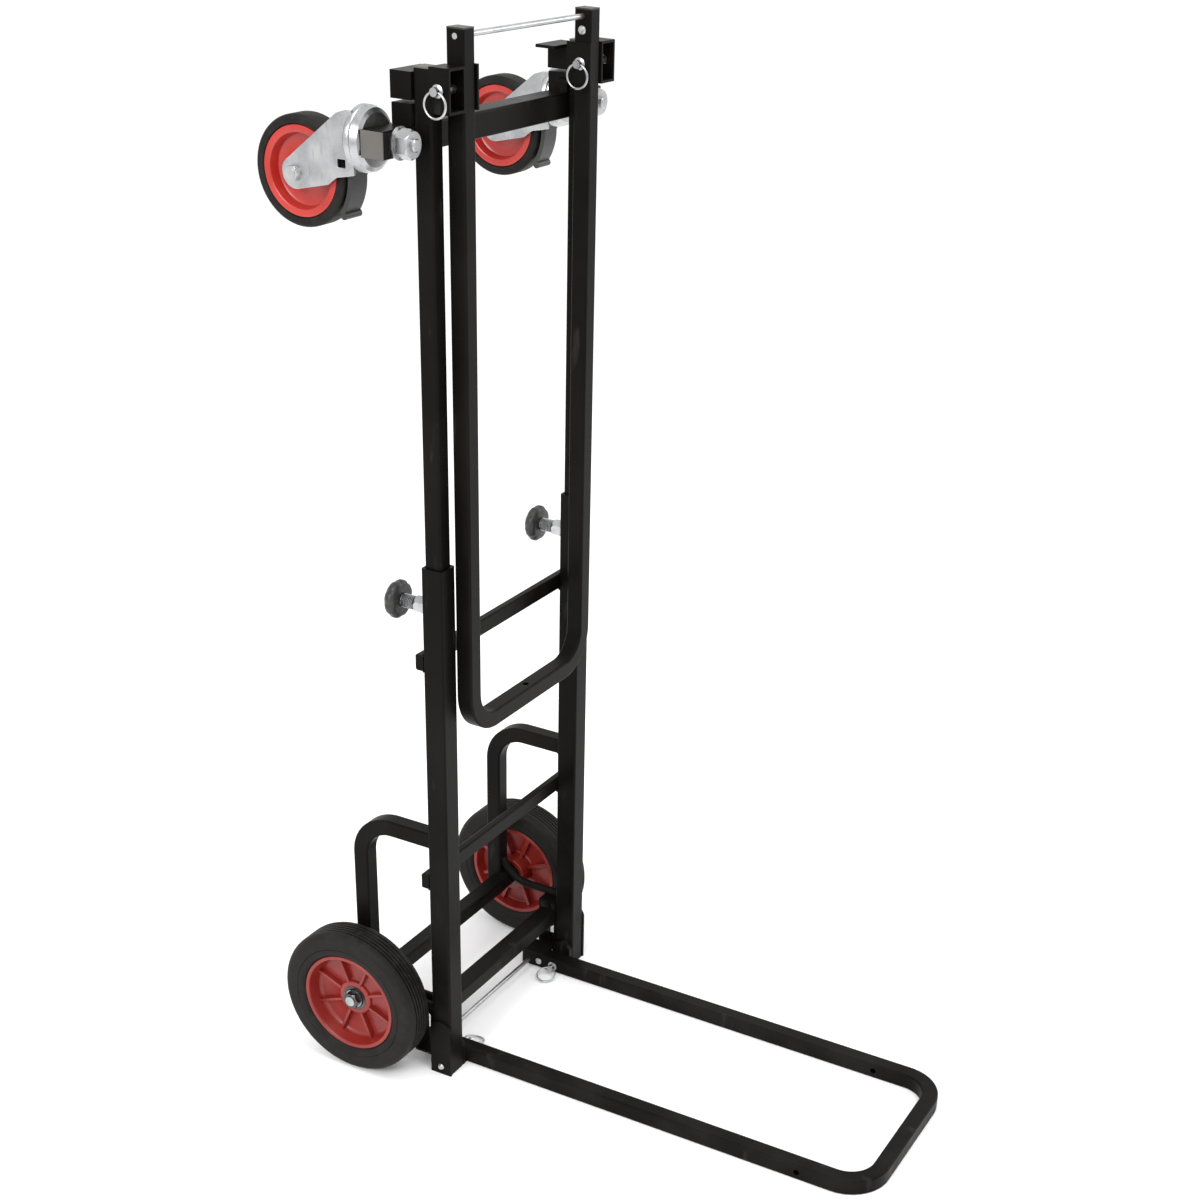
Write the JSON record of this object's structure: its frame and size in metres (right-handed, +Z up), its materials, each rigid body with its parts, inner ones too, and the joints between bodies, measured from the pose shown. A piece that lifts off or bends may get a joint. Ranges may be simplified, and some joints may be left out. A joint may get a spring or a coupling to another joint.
{
  "type": "hand truck",
  "caption": "Convertible hand truck with telescoping uprights, a folding toe frame and handle frame, big wheels and swivel casters.",
  "frame": {"origin": "on the floor, at the middle of the object's box", "axes": "+Z up along the uprights, -Y the way the toe frame points, -X the object's left"},
  "size_m": [0.4, 0.717, 1.1385],
  "materials": {
    "black_coat": "satin",
    "zinc": "satin",
    "rubber": "matte",
    "red_plastic": "satin",
    "black_plastic": "satin"
  },
  "bodies": {
    "root": {"outer_tube_left": "black_coat", "outer_tube_right": "black_coat", "upper_crossbar": "black_coat", "middle_crossbar": "black_coat", "bottom_crossbar": "black_coat", "wheel_loop_left": "black_coat", "wheel_loop_right": "black_coat", "brace_rods": "black_coat", "axle_tube": "black_coat", "axle_sleeves": "black_coat", "axle_rod": "zinc", "axle_washers": "zinc", "axle_nuts": "zinc", "foot_plates": "black_coat", "stop_brackets": "black_coat", "clamp_nuts": "zinc"},
    "upper_frame": {"inner_tube_left": "black_coat", "inner_tube_right": "black_coat", "pivot_brackets": "black_coat", "rear_hooks": "black_coat", "caster_beam": "black_coat", "end_caps": "black_plastic", "caster_stems": "zinc", "caster_nuts": "zinc"},
    "toe_frame": {"toe_tube": "black_coat", "toe_rod": "zinc", "toe_screws": "zinc", "toe_plugs": "black_plastic"},
    "handle_frame": {"handle_tube": "black_coat", "handle_rod": "zinc", "handle_screws": "zinc", "handle_plugs": "black_plastic"},
    "wheel_left": {"tyre_left": "rubber", "wheel_rim_left": "red_plastic", "wheel_bearings_left": "zinc"},
    "knob_left": {"knob_head_left": "black_plastic", "clamp_screw_left": "zinc"},
    "toe_pin_left": {"toe_pin_left": "zinc"},
    "toe_ring_left": {"toe_pin_ring_left": "zinc"},
    "handle_pin_left": {"handle_pin_left": "zinc"},
    "handle_ring_left": {"handle_pin_ring_left": "zinc"},
    "caster_left": {"caster_fork_left": "zinc", "caster_axle_left": "zinc"},
    "caster_wheel_left": {"caster_tyre_left": "rubber", "caster_hub_left": "red_plastic"},
    "brake_left": {"brake_pedal_left": "black_plastic"},
    "wheel_right": {"tyre_right": "rubber", "wheel_rim_right": "red_plastic", "wheel_bearings_right": "zinc"},
    "knob_right": {"knob_head_right": "black_plastic", "clamp_screw_right": "zinc"},
    "toe_pin_right": {"toe_pin_right": "zinc"},
    "toe_ring_right": {"toe_pin_ring_right": "zinc"},
    "handle_pin_right": {"handle_pin_right": "zinc"},
    "handle_ring_right": {"handle_pin_ring_right": "zinc"},
    "caster_right": {"caster_fork_right": "zinc", "caster_axle_right": "zinc"},
    "caster_wheel_right": {"caster_tyre_right": "rubber", "caster_hub_right": "red_plastic"},
    "brake_right": {"brake_pedal_right": "black_plastic"}
  },
  "joints": [
    {"name": "telescope", "type": "slide", "parent": "root", "child": "upper_frame", "axis": [0, 0, 1], "range_m": [-0.35, 0]},
    {"name": "toe_fold", "type": "hinge", "parent": "root", "child": "toe_frame", "pos_m": [0, 0.172, 0.0095], "axis": [-1, 0, 0], "range_deg": [0, 84]},
    {"name": "handle_fold", "type": "hinge", "parent": "upper_frame", "child": "handle_frame", "pos_m": [0, 0.152, 1.087], "axis": [-1, 0, 0], "range_deg": [0, 48]},
    {"name": "wheel_spin_left", "type": "hinge", "parent": "root", "child": "wheel_left", "pos_m": [-0.177, 0.2695, 0.089], "axis": [1, 0, 0], "continuous": true},
    {"name": "knob_turn_left", "type": "hinge", "parent": "root", "child": "knob_left", "pos_m": [-0.1375, 0.216, 0.579], "axis": [0, 1, 0], "range_deg": [0, 60]},
    {"name": "toe_pin_pull_left", "type": "slide", "parent": "root", "child": "toe_pin_left", "axis": [1, 0, 0], "range_m": [0, 0.06]},
    {"name": "toe_ring_swing_left", "type": "hinge", "parent": "toe_pin_left", "child": "toe_ring_left", "pos_m": [-0.093, 0.172, 0.0095], "axis": [0, -1, 0], "range_deg": [0, 60]},
    {"name": "wheel_spin_right", "type": "hinge", "parent": "root", "child": "wheel_right", "pos_m": [0.177, 0.2695, 0.089], "axis": [1, 0, 0], "continuous": true},
    {"name": "knob_turn_right", "type": "hinge", "parent": "root", "child": "knob_right", "pos_m": [0.1375, 0.216, 0.579], "axis": [0, 1, 0], "range_deg": [0, 60]},
    {"name": "toe_pin_pull_right", "type": "slide", "parent": "root", "child": "toe_pin_right", "axis": [-1, 0, 0], "range_m": [0, 0.06]},
    {"name": "toe_ring_swing_right", "type": "hinge", "parent": "toe_pin_right", "child": "toe_ring_right", "pos_m": [0.093, 0.172, 0.0095], "axis": [0, 1, 0], "range_deg": [0, 60]},
    {"name": "handle_pin_pull_left", "type": "slide", "parent": "upper_frame", "child": "handle_pin_left", "axis": [-1, 0, 0], "range_m": [0, 0.06]},
    {"name": "handle_ring_swing_left", "type": "hinge", "parent": "handle_pin_left", "child": "handle_ring_left", "pos_m": [-0.156, 0.152, 1.087], "axis": [0, 1, 0], "range_deg": [0, 60]},
    {"name": "caster_swivel_left", "type": "hinge", "parent": "upper_frame", "child": "caster_left", "pos_m": [-0.17, 0.216, 1.0415], "axis": [0, 1, 0], "continuous": true},
    {"name": "caster_spin_left", "type": "hinge", "parent": "caster_left", "child": "caster_wheel_left", "pos_m": [-0.17, 0.2855, 1.006], "axis": [1, 0, 0], "continuous": true},
    {"name": "brake_press_left", "type": "hinge", "parent": "caster_left", "child": "brake_left", "pos_m": [-0.17, 0.22925, 1.01391], "axis": [1, 0, 0], "range_deg": [0, 3], "stiffness_Nm_per_rad": 0.5},
    {"name": "handle_pin_pull_right", "type": "slide", "parent": "upper_frame", "child": "handle_pin_right", "axis": [-1, 0, 0], "range_m": [0, 0.06]},
    {"name": "handle_ring_swing_right", "type": "hinge", "parent": "handle_pin_right", "child": "handle_ring_right", "pos_m": [0.095, 0.152, 1.087], "axis": [0, 1, 0], "range_deg": [0, 60]},
    {"name": "caster_swivel_right", "type": "hinge", "parent": "upper_frame", "child": "caster_right", "pos_m": [0.17, 0.216, 1.0415], "axis": [0, 1, 0], "continuous": true},
    {"name": "caster_spin_right", "type": "hinge", "parent": "caster_right", "child": "caster_wheel_right", "pos_m": [0.17, 0.2855, 1.006], "axis": [1, 0, 0], "continuous": true},
    {"name": "brake_press_right", "type": "hinge", "parent": "caster_right", "child": "brake_right", "pos_m": [0.17, 0.22925, 1.01391], "axis": [1, 0, 0], "range_deg": [0, 3], "stiffness_Nm_per_rad": 0.5}
  ]
}
